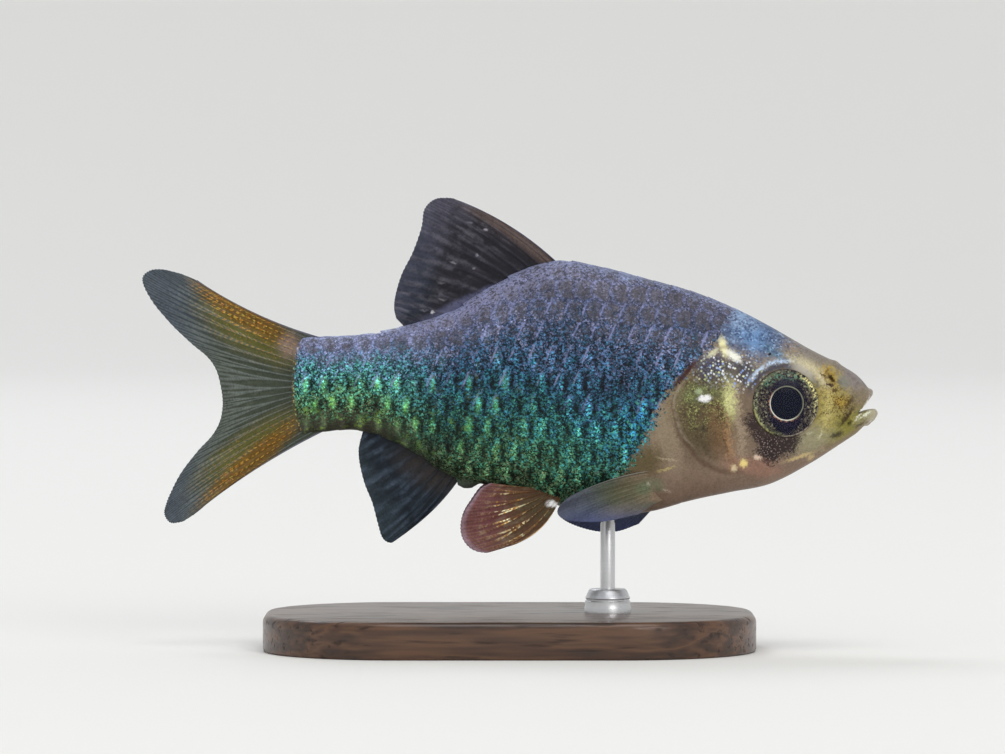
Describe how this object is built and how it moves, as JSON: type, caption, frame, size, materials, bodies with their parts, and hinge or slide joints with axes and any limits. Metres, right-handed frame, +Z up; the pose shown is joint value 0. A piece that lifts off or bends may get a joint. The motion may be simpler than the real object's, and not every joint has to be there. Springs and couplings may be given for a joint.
{
  "type": "tiger barb model on a display stand",
  "caption": "Life-size still tiger barb with a deep, flat-sided body, rayed fins and a forked tail, held by one rod on a flat rounded base.",
  "frame": {"origin": "on the floor, in the middle of the model's box: under the middle of the fish's length, at the centre of the base's underside", "axes": "+X towards the snout, +Z up, +Y to the fish's left side"},
  "size_m": [0.06, 0.027, 0.0367],
  "materials": {
    "scales": "blue-green glittering scales with dark flecks",
    "head": "smooth moist beige skin with yellow and brown flecks",
    "gill_cover": "smooth beige with gold and white metallic spots",
    "eye": "clear cornea over a black pupil with a thin gold ring",
    "fin": "smoky web on fine rays",
    "tail_fin": "smoky web on fine rays with orange bands",
    "pelvic_fin": "orange-brown web on fine rays",
    "pectoral_fin": "thin greyish web on fine rays",
    "stand_base": "dark fine-grained wood with a satin varnish",
    "stand_metal": "satin turned steel"
  },
  "bodies": {
    "root": {"head": "head", "lower_jaw": "head", "gill_cover_left": "gill_cover", "gill_cover_right": "gill_cover", "eye_left": "eye", "eye_right": "eye", "trunk": "scales", "tail_stalk": "scales", "dorsal_fin": "fin", "anal_fin": "fin", "tail_fin_upper": "tail_fin", "tail_fin_lower": "tail_fin", "pelvic_fin_left": "pelvic_fin", "pelvic_fin_right": "pelvic_fin", "pectoral_fin_left": "pectoral_fin", "pectoral_fin_right": "pectoral_fin", "stand_base": "stand_base", "stand_collar": "stand_metal", "stand_rod": "stand_metal"}
  },
  "joints": []
}
